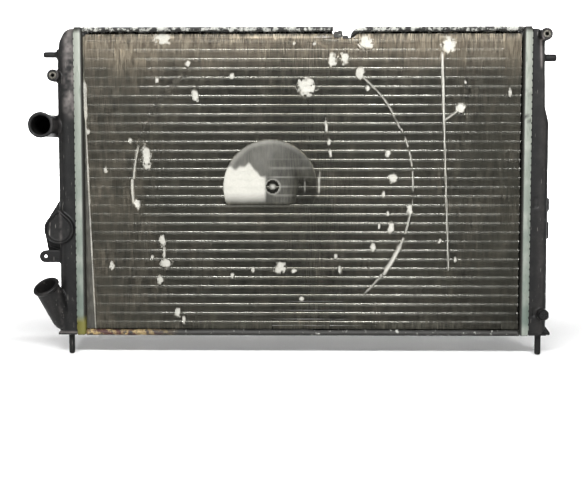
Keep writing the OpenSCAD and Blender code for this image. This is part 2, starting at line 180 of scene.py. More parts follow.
def tube_finish():
    """Drawn aluminium tube, greyed by oxide and dust. It is dark with one sharp line of light; its
    colour is painted paler towards the sides as painted light, and black as painted shade into the
    header plates."""
    finish, tree, shader, where = new_finish("drawn_tube_greyed", metallic=0.9, roughness=0.2)
    along = add(tree, "ShaderNodeMapping", {"Vector": where, "Scale": (0.08, 1.0, 1.0)}).outputs[0]
    drawn = add(tree, "ShaderNodeTexNoise", {"Vector": along, "Scale": grain_per_m(0.8),
                                             "Detail": 4.0}).outputs[0]
    patch = add(tree, "ShaderNodeTexNoise", {"Vector": where, "Scale": grain_per_m(26),
                                             "Detail": 5.0, "Roughness": 0.7}).outputs[0]
    dirt = add(tree, "ShaderNodeMapRange", {"Value": patch, 1: 0.42, 2: 0.64, 4: 0.6}).outputs[0]
    metal = add(tree, "ShaderNodeMix", {0: drawn, 6: "#454540", 7: "#5e5e58"},
                data_type="RGBA").outputs[2]
    colour = add(tree, "ShaderNodeMix", {0: dirt, 6: metal, 7: "#55524a"},
                 data_type="RGBA").outputs[2]
    place = add(tree, "ShaderNodeSeparateXYZ", {0: where})
    across = add(tree, "ShaderNodeMath", {0: place.outputs[0], 1: MID_X * MM},
                 operation="SUBTRACT").outputs[0]
    outward = add(tree, "ShaderNodeMath", {0: across}, operation="ABSOLUTE").outputs[0]
    # Painted light: the tubes are made paler away from the middle of the core.
    painted_side_light = add(tree, "ShaderNodeMapRange", {"Value": outward, 1: 0.03, 2: 0.2, 4: 0.6}).outputs[0]
    colour = add(tree, "ShaderNodeMix", {0: painted_side_light, 6: colour, 7: "#c4c4bc"},
                 data_type="RGBA").outputs[2]
    # Painted shade: the tubes turn black where they pass into the header plates.
    ends = add(tree, "ShaderNodeMapRange", {"Value": outward, 1: (FIN_END - 2) * MM,
                                            2: (FIN_END + 0.5) * MM}).outputs[0]
    colour = add(tree, "ShaderNodeMix", {0: ends, 6: colour, 7: "#12120f"},
                 data_type="RGBA").outputs[2]
    rough = add(tree, "ShaderNodeMapRange", {"Value": patch, 1: 0.35, 2: 0.7, 3: 0.17,
                                             4: 0.24}).outputs[0]
    return close_finish(finish, shader, colour, drawn, 0.15, 0.0001, Roughness=rough)


def header_finish():
    """Pressed aluminium header sheet with a pale, slightly green oxide bloom from coolant salts.
    It is chalky, whiter near the top, stained where water ran down, and scratched at the crimps."""
    finish, tree, shader, where = new_finish("pressed_header_sheet", metallic=0.15, roughness=0.5)
    place = add(tree, "ShaderNodeSeparateXYZ", {0: where})
    height = place.outputs[2]
    runs = add(tree, "ShaderNodeMapping", {"Vector": where, "Scale": (1.0, 1.0, 0.2)}).outputs[0]
    stain = add(tree, "ShaderNodeTexNoise", {"Vector": runs, "Scale": grain_per_m(5), "Detail": 6.0,
                                             "Roughness": 0.7}).outputs[0]
    bloom = add(tree, "ShaderNodeTexNoise", {"Vector": where, "Scale": grain_per_m(30),
                                             "Detail": 4.0}).outputs[0]
    upward = add(tree, "ShaderNodeMapRange", {"Value": height, 1: 0.02, 2: 0.4}).outputs[0]
    body = add(tree, "ShaderNodeMix", {0: upward, 6: "#5f6c64", 7: "#989c92"},
               data_type="RGBA").outputs[2]
    cloud = add(tree, "ShaderNodeMapRange", {"Value": bloom, 1: 0.45, 2: 0.7, 4: 0.6}).outputs[0]
    chalk = add(tree, "ShaderNodeMix", {0: cloud, 6: body, 7: "#a3a69d"},
                data_type="RGBA").outputs[2]
    grime_and_shade = add(tree, "ShaderNodeMapRange", {"Value": stain, 1: 0.5, 2: 0.68, 4: 0.8}).outputs[0]
    grimy_and_shaded = add(tree, "ShaderNodeMix", {0: grime_and_shade, 6: chalk, 7: "#667065"},
                data_type="RGBA").outputs[2]
    # This value darkens cracks and the top end, and paints shade into the inner bend.
    grime_and_shade_mask = add(tree, "ShaderNodeAttribute", attribute_name="grime_and_shade").outputs["Fac"]
    grimy_and_shaded = add(tree, "ShaderNodeMix", {0: grime_and_shade_mask, 6: grimy_and_shaded, 7: "#1d1d19"},
                data_type="RGBA").outputs[2]
    low = add(tree, "ShaderNodeMapRange", {"Value": height, 1: 0.028, 2: 0.018}).outputs[0]
    left = add(tree, "ShaderNodeMapRange", {"Value": place.outputs[0], 1: 0.2, 2: 0.1}).outputs[0]
    yellow = add(tree, "ShaderNodeMath", {0: low, 1: left}, operation="MULTIPLY").outputs[0]
    colour = add(tree, "ShaderNodeMix", {0: yellow, 6: grimy_and_shaded, 7: "#5d5a22"},
                 data_type="RGBA").outputs[2]
    rough = add(tree, "ShaderNodeMapRange", {"Value": stain, 3: 0.38, 4: 0.7}).outputs[0]
    return close_finish(finish, shader, colour, stain, 0.35, 0.0004, Roughness=rough)


def side_plate_finish():
    """Roll-formed aluminium channel with a thin black paint, chipped back to grey metal on its
    outer edges, with rust and cream scale low on the left where it sat in wet dirt."""
    finish, tree, shader, where = new_finish("painted_rolled_channel", metallic=0.35, roughness=0.5)
    chips = add(tree, "ShaderNodeTexNoise", {"Vector": where, "Scale": grain_per_m(7),
                                             "Detail": 7.0, "Roughness": 0.72}).outputs[0]
    place = add(tree, "ShaderNodeSeparateXYZ", {0: where})
    top = add(tree, "ShaderNodeMapRange", {"Value": place.outputs[2], 1: 0.4055, 2: 0.4085,
                                           4: 0.12}).outputs[0]
    worn = add(tree, "ShaderNodeMath", {0: chips, 1: top}, operation="ADD").outputs[0]
    bare = add(tree, "ShaderNodeMapRange", {"Value": worn, 1: 0.6, 2: 0.68}).outputs[0]
    paint = add(tree, "ShaderNodeMix", {0: chips, 6: "#0a0a09", 7: "#252420"},
                data_type="RGBA").outputs[2]
    metal = add(tree, "ShaderNodeMix", {0: chips, 6: "#5f5f5b", 7: "#bdbdb6"},
                data_type="RGBA").outputs[2]
    painted = add(tree, "ShaderNodeMix", {0: bare, 6: paint, 7: metal}, data_type="RGBA").outputs[2]
    left = add(tree, "ShaderNodeMapRange", {"Value": place.outputs[0], 1: 0.15, 2: 0.09}).outputs[0]
    low = add(tree, "ShaderNodeMapRange", {"Value": place.outputs[2], 1: 0.02, 2: 0.01}).outputs[0]
    corner = add(tree, "ShaderNodeMath", {0: left, 1: low}, operation="MULTIPLY").outputs[0]
    blot = add(tree, "ShaderNodeTexNoise", {"Vector": where, "Scale": grain_per_m(11),
                                            "Detail": 5.0}).outputs[0]
    caked = add(tree, "ShaderNodeMapRange", {"Value": blot, 1: 0.48, 2: 0.6}).outputs[0]
    scale = add(tree, "ShaderNodeMix", {0: caked, 6: "#34150f", 7: "#8f7c54"},
                data_type="RGBA").outputs[2]
    broken = add(tree, "ShaderNodeMapRange", {"Value": chips, 1: 0.4, 2: 0.5}).outputs[0]
    spread = add(tree, "ShaderNodeMath", {0: corner, 1: broken}, operation="MULTIPLY").outputs[0]
    colour = add(tree, "ShaderNodeMix", {0: spread, 6: painted, 7: scale},
                 data_type="RGBA").outputs[2]
    rough = add(tree, "ShaderNodeMapRange", {"Value": chips, 3: 0.35, 4: 0.75}).outputs[0]
    return close_finish(finish, shader, colour, chips, 0.5, 0.0006, Roughness=rough)


def nylon_finish(name, dust_and_sheen):
    """Glass-filled nylon 66, injection moulded: near black with a fine fibre-rich skin and a dull
    sheen. Dust and scuffs show grey on it, in blotches and short scratches."""
    finish, tree, shader, where = new_finish(name, roughness=0.45, specular=0.17)
    skin = add(tree, "ShaderNodeTexNoise", {"Vector": where, "Scale": grain_per_m(0.7),
                                            "Detail": 4.0}).outputs[0]
    cloud = add(tree, "ShaderNodeTexNoise", {"Vector": where, "Scale": grain_per_m(14),
                                             "Detail": 6.0, "Roughness": 0.68}).outputs[0]
    lines = add(tree, "ShaderNodeMapping", {"Vector": where, "Rotation": (0.3, 0.5, 0.2),
                                            "Scale": (6.0, 6.0, 0.5)}).outputs[0]
    scratch = add(tree, "ShaderNodeTexNoise", {"Vector": lines, "Scale": grain_per_m(9),
                                               "Detail": 2.0}).outputs[0]
    body = add(tree, "ShaderNodeMix", {0: skin, 6: "#090909", 7: "#1a1a1a"},
               data_type="RGBA").outputs[2]
    haze = add(tree, "ShaderNodeMapRange", {"Value": cloud, 1: 0.5, 2: 0.78, 4: 0.35}).outputs[0]
    hazy = add(tree, "ShaderNodeMix", {0: haze, 6: body, 7: "#302f2d"}, data_type="RGBA").outputs[2]
    cut = add(tree, "ShaderNodeMapRange", {"Value": scratch, 1: 0.7, 2: 0.74, 4: 0.5}).outputs[0]
    colour = add(tree, "ShaderNodeMix", {0: cut, 6: hazy, 7: "#8c8984"},
                 data_type="RGBA").outputs[2]
    if dust_and_sheen:
        # This value also carries a painted highlight along the tanks' outer edges.
        scuff_and_sheen = add(tree, "ShaderNodeAttribute", attribute_name="scuff_and_sheen").outputs["Fac"]
        chalk = add(tree, "ShaderNodeMix", {0: cloud, 6: "#2b2a29", 7: "#8a8380"},
                    data_type="RGBA").outputs[2]
        colour = add(tree, "ShaderNodeMix", {0: scuff_and_sheen, 6: colour, 7: chalk},
                     data_type="RGBA").outputs[2]
    rough = add(tree, "ShaderNodeMapRange", {"Value": cloud, 1: 0.3, 2: 0.8, 3: 0.36,
                                             4: 0.62}).outputs[0]
    return close_finish(finish, shader, colour, skin, 0.25, 0.0002, Roughness=rough)


def plain_metal(name, dark, light, roughness, grain):
    """A turned or folded metal with a tarnish that follows a fine grain."""
    finish, tree, shader, where = new_finish(name, metallic=0.8, roughness=roughness)
    spots = add(tree, "ShaderNodeTexNoise", {"Vector": where, "Scale": grain_per_m(grain),
                                             "Detail": 5.0, "Roughness": 0.7}).outputs[0]
    patch = add(tree, "ShaderNodeMapRange", {"Value": spots, 1: 0.38, 2: 0.62}).outputs[0]
    colour = add(tree, "ShaderNodeMix", {0: patch, 6: dark, 7: light}, data_type="RGBA").outputs[2]
    return close_finish(finish, shader, colour, spots, 0.4, 0.0003)


def rubber_finish():
    """Moulded EPDM rubber: black, matt, with a faint powdery bloom."""
    finish, tree, shader, where = new_finish("moulded_epdm", roughness=0.75)
    bloom = add(tree, "ShaderNodeTexNoise", {"Vector": where, "Scale": grain_per_m(3),
                                             "Detail": 5.0}).outputs[0]
    colour = add(tree, "ShaderNodeMix", {0: bloom, 6: "#0c0c0c", 7: "#2b2b2a"},
                 data_type="RGBA").outputs[2]
    return close_finish(finish, shader, colour, bloom, 0.2, 0.0001)


def studio_finish():
    """A rolled paper sweep: matt and nearly white, with barely any tooth."""
    finish, tree, shader, where = new_finish("paper_sweep", roughness=0.9)
    tooth = add(tree, "ShaderNodeTexNoise", {"Vector": where, "Scale": grain_per_m(4)}).outputs[0]
    colour = add(tree, "ShaderNodeMix", {0: tooth, 6: "#f6f6f6", 7: "#ffffff"},
                 data_type="RGBA").outputs[2]
    tree.links.new(colour, shader.inputs["Base Color"])
    return finish


FIN_STOCK = fin_finish()
DRAWN_TUBE = tube_finish()
HEADER_SHEET = header_finish()
CHANNEL_SHEET = side_plate_finish()
TANK_NYLON = nylon_finish("moulded_nylon_dust_and_sheen", True)
PLUG_NYLON = nylon_finish("moulded_nylon", False)
BUSH_BRASS = plain_metal("turned_brass_tarnished", "#1f1e1b", "#6e6b63", 0.45, 1.6)
FOLDED_STRIP = plain_metal("folded_aluminium_strip", "#6a6a66", "#a9a9a3", 0.45, 4)
RUBBER = rubber_finish()


# ------------------------------------------------------------ meshes
def set_values(mesh, values):
    """Stores named numbers on the mesh's points, for its finish to read."""
    for key, numbers in (values or {}).items():
        mesh.attributes.new(key, "FLOAT", "POINT").data.foreach_set("value", numbers)


def place_piece(name, mesh, replaced):
    """A finished mesh as a piece in its place, riding on the radiator."""
    mesh.name = name
    piece = bpy.data.objects.new(name, mesh)
    bpy.context.scene.collection.objects.link(piece)
    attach(piece, BODY)
    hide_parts(*replaced)


def make_piece(name, points, faces, finish, replaced, values=None, smooth=True):
    """A piece from points in millimetres from the core's middle."""
    mesh = bpy.data.meshes.new(name)
    mesh.from_pydata(((np.asarray(points) + (MID_X, 0, 0)) * MM).tolist(), [], faces)
    set_values(mesh, values)
    shape = bmesh.new()
    shape.from_mesh(mesh)
    bmesh.ops.recalc_face_normals(shape, faces=shape.faces)
    shape.to_mesh(mesh)
    shape.free()
    mesh.materials.append(finish)
    if smooth:
        mesh.shade_smooth()
    place_piece(name, mesh, replaced)


def strip_faces(rings, count):
    """Quads between neighbouring rings of count points, from the first ring to the last."""
    return [(count * r + k, count * r + (k + 1) % count,
             count * r + count + (k + 1) % count, count * r + count + k)
            for r in range(rings - 1) for k in range(count)]


def end_caps(rings, count):
    """The first and the last ring of a strip as two faces."""
    return [tuple(range(count)), tuple(range(count * (rings - 1), count * rings))]


# ------------------------------------------------------------ the finned core
FIN_PITCH = 1.4
FIN_COUNT = int((2 * FIN_END - 2) / FIN_PITCH) + 1
FIN_X = (np.arange(FIN_COUNT) - (FIN_COUNT - 1) / 2) * FIN_PITCH
FIN_SHEET = 0.16
FIN_STEP = 1.6  # between the levels at which a front edge's marks are read
KNEE_Y = FIN_FRONT + 1.7  # where a front edge folds
ROOT_Y = FIN_FRONT + 3.8  # where a front edge meets the plate behind it
TUBE_PITCH = 12.2
# Painted highlight: glint lines are painted on the hub's fin edges from this height, one each tube
# pitch.
PAINTED_GLINT_Z = 18.4  # the lowest front tube's line of light

# The print that the fan's hub left: its middle and radius, its flat lower end, and its boss.
HUB_X, HUB_Z, HUB_R = -43.5, 201, 63
HUB_FLOOR_Z = 176
BOSS_X, BOSS_RING_R = -40.5, 9.6

# Where fins were knocked over: x, z, width and height in millimetres.
KNOCKS = ((-186, 397, 22, 16), (84, 391, 18, 18), (193, 388, 21, 22), (41, 369, 13, 17),
          (57, 372, 11, 17), (6, 334, 25, 25), (-144, 322, 11, 16), (-95, 349, 7, 9),
          (-153, 365, 7, 7), (78, 352, 11, 18), (86, 332, 5, 8), (-11, 391, 5, 5), (17, 391, 5, 5),
          (-210, 241, 13, 33), (-222, 178, 8, 13), (-232, 263, 5, 8), (-267, 223, 5, 8),
          (-290, 275, 7, 7), (-195, 343, 5, 7), (211, 306, 13, 13), (277, 326, 5, 11),
          (216, 340, 4, 5), (114, 245, 7, 12), (120, 213, 12, 12), (108, 191, 5, 9),
          (114, 166, 4, 8), (143, 171, 8, 15), (103, 148, 4, 8), (118, 146, 8, 16),
          (94, 119, 7, 11),
          (31, 283, 4, 18), (35, 261, 4, 13), (37, 246, 4, 11), (-189, 128, 9, 18),
          (-184, 98, 16, 13), (-203, 106, 5, 7), (-263, 94, 7, 13), (-193, 76, 7, 11),
          (-169, 32, 9, 13), (-30, 92, 16, 16), (-12, 88, 7, 7), (-67, 90, 5, 7), (-95, 81, 5, 7),
          (-187, 112, 4, 17), (-161, 21, 4, 12), (51, 89, 4, 11), (46, 108, 4, 7), (-2, 50, 7, 8),
          (184, 128, 4, 7), (205, 103, 4, 7))

# Where the fan's blade tips swept round the hub: the arc's ends in degrees, its radius and half
# width in millimetres, and how deep it folded the fins.
SWEEP_R = 192
SWEEPS = ((-48, 51, SWEEP_R, 1.1, 0.9), (-40, -24, SWEEP_R, 2.6, 1.0),
          (163, 187, SWEEP_R - 7, 1.5, 0.9), (150, 163, SWEEP_R - 5, 1.3, 0.2),
          (127, 149, SWEEP_R - 4, 3.6, 0.29), (66, 112, SWEEP_R + 9, 2.2, 0.25))


def hub_marks(x, z):
    """How far the fan's hub folded the fins over, and how bright it rubbed them, with painted
    highlight lines across its right part at the tubes' heights.
    """
    off_x, off_z = x - HUB_X, z - HUB_Z
    away = np.hypot(off_x, off_z)
    inside = 1 - rise(away, HUB_R - 1, HUB_R + 1)
    ragged = 3 * soft_noise(x, z, 7, 21)
    floor = rise(z, HUB_FLOOR_Z, HUB_FLOOR_Z + 6)
    open_side = rise(x + ragged, -28, -4) * (1 - rise(z + 2 * ragged, 208, 240))
    fold = inside * floor * (1 - 0.72 * open_side)
    peak = 24 - 11 * rise(x, -78, -50) + 8 * np.exp(-((x + 72) / 5) ** 2)
    white = rise(z, HUB_FLOOR_Z, HUB_FLOOR_Z + 18) * (1 - rise(off_z + ragged, peak - 3, peak + 3))
    white = white * (1 - rise(x, -53, -48))
    rim = np.exp(-((away - HUB_R + 3) / 3) ** 2) * (1 - rise(off_x, 10, 60)) * rise(off_z, 0, 20)
    grey = 0.11 - 0.11 * rise(x - 0.4 * off_z, -72, -30)
    # Painted highlight: thin bright lines on the hub's fin edges at the tubes' glint heights.
    glint = (z - PAINTED_GLINT_Z + TUBE_PITCH / 2) % TUBE_PITCH - TUBE_PITCH / 2
    painted_glint = 0.3 * np.exp(-(glint / 0.9) ** 2) * rise(x + 3 * ragged, -52, -36)
    grey = grey + painted_glint * (1 - rise(z, 232, 240))
    bands = 0.86 + 0.06 * soft_noise(0 * x, z, 5, 23)
    bright = fold * np.clip(grey + 0.05 * soft_noise(x, z, 9, 22) + 0.2 * rim + bands * white, 0, 1)
    edge = np.exp(-((x - 22 - ragged / 3) / 1.6) ** 2) * rise(z, 182, 196) * (1 - rise(z, 212, 230))
    edge = edge * (0.6 + 0.4 * soft_noise(x, z, 4, 24))
    edge = edge + 0.45 * np.exp(-((x - 3) / 1.2) ** 2) * rise(z, 190, 198) * (1 - rise(z, 204, 216))
    boss = np.hypot(x - BOSS_X, z - HUB_Z)
    ring = 0.5 * np.exp(-((boss - BOSS_RING_R) / 1.2) ** 2) + np.exp(-(boss / 3) ** 2)
    pit = (boss < 8.8) & (boss > 4.6)
    fold = np.where(pit, 0.0, np.maximum(fold, np.clip(edge + ring, 0, 1)))
    bright = np.where(pit, 0.0, np.maximum(bright, np.clip(edge + ring * 0.8, 0, 1)))
    return fold, bright


def marks_at(x, z):
    """Fold of the fins' front edges from 0 to 1, and how bright they are rubbed there, with the
    hub's painted highlight lines.
    """
    fold, bright = hub_marks(x, z)
    ragged = soft_noise(x, z, 3.5, 5) + 0.8 * soft_noise(x, z, 1.7, 15)
    for cx, cz, wide, tall in KNOCKS:
        reach = np.hypot((x - cx) / (wide / 2), (z - cz) / (tall / 2)) + 0.32 * ragged
        hit = 1 - rise(reach, 0.66, 1.15)
        fold, bright = np.maximum(fold, hit), np.maximum(bright, hit * (0.9 + 0.1 * ragged))
    off_x, off_z = x - HUB_X, z - HUB_Z
    away = np.hypot(off_x, off_z)
    turn = (np.degrees(np.arctan2(off_z, off_x)) + 90) % 360 - 90
    wander = 1.5 * soft_noise(x, z, 40, 6)
    for start, end, radius, half, depth in SWEEPS:
        band = np.exp(-((away - radius - wander) / half) ** 2)
        along = rise(turn, start - 2, start + 2) * (1 - rise(turn, end - 2, end + 2))
        broken = rise(soft_noise(x, z, 9, 7) + (2 if radius < SWEEP_R else 0), -0.75, -0.35)
        hit = depth * band * along * broken
        fold, bright = np.maximum(fold, hit), np.maximum(bright, hit * depth)
    line_x = 186 + (345 - z) * 10 / 256  # one long upright scratch, a little off plumb
    streak = np.exp(-((x - line_x) / (0.9 + 0.6 * rise(z, 250, 330))) ** 2)
    streak = streak * rise(z, 84, 96) * (1 - rise(z, 376, 382))
    streak = streak * (0.85 + 0.15 * rise(z + 20 * ragged, 230, 290))
    fold, bright = np.maximum(fold, streak), np.maximum(bright, streak)
    branch = np.exp(-(((z - 290) - (x - 190) * 0.75) / 1.4) ** 2) * rise(x, 189, 191)
    branch = branch * (1 - rise(x, 206, 208))
    return np.maximum(fold, branch), np.maximum(bright, branch)


def end_fin_lean(z):
    """How far the left end fin has bent towards the core, more at its foot."""
    return 11 * np.clip(1 - z / 330, 0, 1) ** 1.2


def lean_of(x, z):
    """Sideways wander of a fin, with the left ones crowded over by a bent end fin."""
    span = 80
    share = np.clip((span - x - FIN_END) / (span - 1), 0, 1)
    return x + share * end_fin_lean(z) + 0.22 * soft_noise(x * 3, z, 30, 3)


def fin_top_at(x):
    """The fins' upper end, lower under the tear in the upper side plate."""
    return FIN_TOP - 6.5 * np.exp(-((x - 61) / 9) ** 4) + 0.3 * np.sin(x * 1.7)


def folded_edge(x):
    """One fin's front flap as a closed strip: points, faces, and where it is rubbed bright, with
    painted highlight lines in the hub, where dust lies, and where it is dark with dirt and with
    painted shade."""
    top = float(fin_top_at(x))
    fine = np.arange(FIN_FOOT, top, FIN_STEP)
    fold, bright = marks_at(np.full(fine.shape, x), fine)
    busy = fold > 0.03
    keep = busy | np.roll(busy, 1) | np.roll(busy, -1) | (np.arange(len(fine)) % 8 == 0)
    z = np.append(fine[keep], top)
    fold, bright = np.append(fold[keep], fold[keep][-1]), np.append(bright[keep], bright[keep][-1])
    upper = rise(z + 5 * soft_noise(x, z, 20, 8), 335, 394)
    leftish = rise(-x, 120, 290) * 0.5
    dust = 0.9 * upper + 0.35 * leftish + 0.15 * soft_noise(x, z, 25, 9)
    dust = np.clip(dust + 0.2 * soft_noise(x, z, 3, 16), 0, 1)
    slack = 5 + 6 * upper + 3 * leftish + (8 + 2 * upper) * soft_noise(x * 5, z, 5, 10)
    slack = slack * (0.35 + 0.65 * rise(x, 8 - FIN_END, 55 - FIN_END))
    slack = slack + 50 * rise(z, 396, 400) + 45 * (1 - rise(z, 11, 15))
    away = np.hypot(x - HUB_X, z - HUB_Z)
    side = np.where((away < HUB_R + 3) | (soft_noise(x, z, 60, 11) > -0.3), 1, -1)
    tilt = np.radians(np.where(fold > 0.3, 82 * np.sqrt(fold), slack + 60 * fold)) * side
    half = 0.5 * (FIN_SHEET + 0.14 * dust)
    root = lean_of(x, z)
    knee = root + 0.25 * fold * side
    long = KNEE_Y - FIN_FRONT - 0.05
    tip_x, tip_y = knee + long * np.sin(tilt), KNEE_Y - long * np.cos(tilt)
    off_x, off_y = half * np.cos(tilt), half * np.sin(tilt)
    level = np.full(z.shape, 1.0)
    rows = [(root - half, ROOT_Y * level), (knee - half, KNEE_Y * level),
            (tip_x - off_x, tip_y - off_y), (tip_x + off_x, tip_y + off_y),
            (knee + half, KNEE_Y * level), (root + half, ROOT_Y * level)]
    count = len(rows)
    points = np.stack([np.stack([px, py, z], 1) for px, py in rows], 1).reshape(-1, 3)
    points[:, 1] = np.maximum(points[:, 1], FIN_FRONT)
    faces = strip_faces(len(z), count) + end_caps(len(z), count)
    printed = (1 - rise(away, HUB_R - 3, HUB_R + 1)) * rise(z, HUB_FLOOR_Z - 4, HUB_FLOOR_Z + 6)
    # Painted shade: darker on the lower right, in a band just above the lower plate and in a band
    # under the upper plate; it is added to the hub's print and a random dark tone.
    painted_shade = 0.6 * rise(x, 120, 290) * (1 - rise(z, 20, 110))
    painted_shade = painted_shade + 0.9 * (1 - rise(z, 12, 19)) + 0.7 * rise(z, 399.5, 402)
    worn = painted_shade + 0.5 * soft_noise(x * 40, z, 14, 14)
    soot_and_shade = np.clip(printed + (1 - printed) * worn, 0, 1)
    return points, faces, {key: np.repeat(numbers, count) for key, numbers in
                           (("bared_and_glint", bright), ("dust", dust), ("soot_and_shade", soot_and_shade))}


def build_fin_edges():
    """The folded front edges of all fins, in four pieces side by side."""
    for part, block in enumerate(np.array_split(FIN_X, 4)):
        points, faces, values, start = [], [], [], 0
        for x in block:
            its_points, its_faces, its_values = folded_edge(x)
            points.append(its_points)
            faces += [tuple(start + i for i in face) for face in its_faces]
            values.append(its_values)
            start += len(its_points)
        joined = {key: np.concatenate([one[key] for one in values]) for key in values[0]}
        make_piece(f"fin_edges_{part + 1}", np.concatenate(points), faces, FIN_STOCK,
                   ["fins"], joined, smooth=False)


def group_tree(name, inputs):
    """An empty Geometry Nodes tree with these number inputs, and its two ends."""
    tree = bpy.data.node_groups.new(name, "GeometryNodeTree")
    tree.is_modifier = True
    tree.interface.new_socket("Geometry", in_out="INPUT", socket_type="NodeSocketGeometry")
    for label, kind in inputs.items():
        tree.interface.new_socket(label, in_out="INPUT", socket_type=kind)
    tree.interface.new_socket("Geometry", in_out="OUTPUT", socket_type="NodeSocketGeometry")
    return tree, add(tree, "NodeGroupInput").outputs


def bake_tree(name, tree, sizes):
    """Runs a tree with its sizes set by identifier, and returns the plain mesh."""
    holder = bpy.data.objects.new(name, bpy.data.meshes.new(name))
    bpy.context.scene.collection.objects.link(holder)
    modifier = holder.modifiers.new(name, "NODES")
    modifier.node_group = tree
    for socket in tree.interface.items_tree:
        if socket.in_out == "INPUT" and socket.name in sizes:
            modifier[socket.identifier] = sizes[socket.name]
    graph = bpy.context.evaluated_depsgraph_get()
    mesh = bpy.data.meshes.new_from_object(holder.evaluated_get(graph))
    bpy.data.objects.remove(holder)
    return mesh


def fin_row_tree():
    """A row of upright plates: named count, pitch, size and jitter, with a fixed seed."""
    tree, given = group_tree("fin_row", {"Count": "NodeSocketInt", "Pitch": "NodeSocketFloat",
                                         "Plate size": "NodeSocketVector",
                                         "Jitter": "NodeSocketFloat", "Seed": "NodeSocketInt"})
    line = add(tree, "GeometryNodeMeshLine", {"Count": given["Count"]}, mode="OFFSET")
    step = add(tree, "ShaderNodeCombineXYZ", {0: given["Pitch"]})
    tree.links.new(step.outputs[0], line.inputs["Offset"])
    plate = add(tree, "GeometryNodeMeshCube", {"Size": given["Plate size"], "Vertices X": 2,
                                               "Vertices Y": 3, "Vertices Z": 10})
    spread = add(tree, "FunctionNodeRandomValue", {"Seed": given["Seed"]}, data_type="FLOAT")
    low = add(tree, "ShaderNodeMath", {0: given["Jitter"], 1: -1.0}, operation="MULTIPLY")
    tree.links.new(low.outputs[0], spread.inputs[2])
    tree.links.new(given["Jitter"], spread.inputs[3])
    shift = add(tree, "ShaderNodeCombineXYZ", {2: spread.outputs[1]})
    moved = add(tree, "GeometryNodeSetPosition", {"Geometry": line.outputs[0],
                                                  "Offset": shift.outputs[0]})
    placed = add(tree, "GeometryNodeInstanceOnPoints", {"Points": moved.outputs[0],
                                                        "Instance": plate.outputs[0]})
    real = add(tree, "GeometryNodeRealizeInstances", {0: placed.outputs[0]})
    dressed = add(tree, "GeometryNodeSetMaterial", {"Geometry": real.outputs[0],
                                                    "Material": FIN_STOCK})
    add(tree, "NodeGroupOutput", {0: dressed.outputs[0]})
    return tree


def mesh_points(mesh):
    """The mesh's points as an array of places in metres."""
    flat = np.empty(3 * len(mesh.vertices))
    mesh.vertices.foreach_get("co", flat)
    return flat.reshape(-1, 3)


def build_fin_plates():
    """The fins behind their front edges, as one row of plates bent to follow them."""
    size = (FIN_SHEET, FIN_BACK - ROOT_Y + 0.2, FIN_TOP - FIN_FOOT - 0.8)
    mesh = bake_tree("fin_plates", fin_row_tree(), {"Count": FIN_COUNT, "Pitch": FIN_PITCH,
                                                    "Plate size": size, "Jitter": 0.3, "Seed": 4})
    points = mesh_points(mesh)
    x = points[:, 0] + FIN_X[0]
    y = points[:, 1] + (FIN_BACK + ROOT_Y - 0.2) / 2
    z = points[:, 2] + (FIN_FOOT + FIN_TOP) / 2
    z = FIN_FOOT + (z - FIN_FOOT) * (fin_top_at(x) - 0.8 - FIN_FOOT) / (FIN_TOP - FIN_FOOT - 0.4)
    order = np.round((x - FIN_X[0]) / FIN_PITCH).astype(int)
    base = FIN_X[np.clip(order, 0, FIN_COUNT - 1)]
    back = rise(y, 4, FIN_BACK)
    bent = lean_of(base, z) + (x - base) + 0.35 * back * soft_noise(base * 3, z, 18, 12)
    placed = np.stack([bent + MID_X, np.minimum(y, FIN_BACK), z], 1) * MM
    mesh.vertices.foreach_set("co", placed.ravel())
    mesh.update()
    dust = np.clip(0.25 + 0.5 * rise(z, 370, 400) + 0.3 * soft_noise(base, z, 25, 13), 0, 1)
    set_values(mesh, {"dust": dust, "bared_and_glint": 0 * dust})
    place_piece("fin_plates", mesh, ["fins"])


def build_left_end_strip():
    """The wrinkled end strip beside the left header, with the bright bent lip of the end fin."""
    z = np.linspace(FIN_FOOT, FIN_TOP - 3, 160)
    inner = -FIN_END + 0.4 + end_fin_lean(z)
    outer = np.full(z.shape, -PAN_INNER + 0.15)
    wave = 0.5 * soft_noise(z, 0, 9, 41)
    lip = 1.3 + 1.5 * rise(z, 285, 300) + 0.3 * soft_noise(z, 0, 6, 42)
    show = rise(-z, -345, -335)
    level = np.full(z.shape, 1.0)
    rows = [(outer, -13.3 + wave), (inner - 0.4, -13.6 + wave), (inner - lip * 0.6, -15.8 * level),
            (inner + lip * show, -16.6 * level), (inner + 0.5, -15.2 * level),
            (inner + 0.4, -11.0 + wave), (outer, -10.3 + wave)]
    count = len(rows)
    points = np.stack([np.stack([x, y, z], 1) for x, y in rows], 1).reshape(-1, 3)
    faces = strip_faces(len(z), count) + end_caps(len(z), count)
    ridge = np.array([0, 0.05, 0.7, 1, 1, 0, 0])
    rubbed = show * (0.5 + 0.5 * rise(z, 40, 120)) * (0.85 + 0.5 * wave)
    bared_and_glint = (ridge[None, :] * rubbed[:, None]).ravel()
    dust = np.repeat(np.clip(0.2 + 0.4 * soft_noise(z, 0, 30, 43), 0, 1), count)
    # Painted shade: off its ridge the strip takes the near-black tone of a shaded cavity.
    make_piece("left_end_fin", points, faces, FIN_STOCK, ["fins"],
               {"bared_and_glint": np.clip(bared_and_glint, 0, 1), "dust": dust, "soot_and_shade": np.tile(1 - ridge, len(z))},
               smooth=False)


build_fin_edges()
build_fin_plates()
build_left_end_strip()


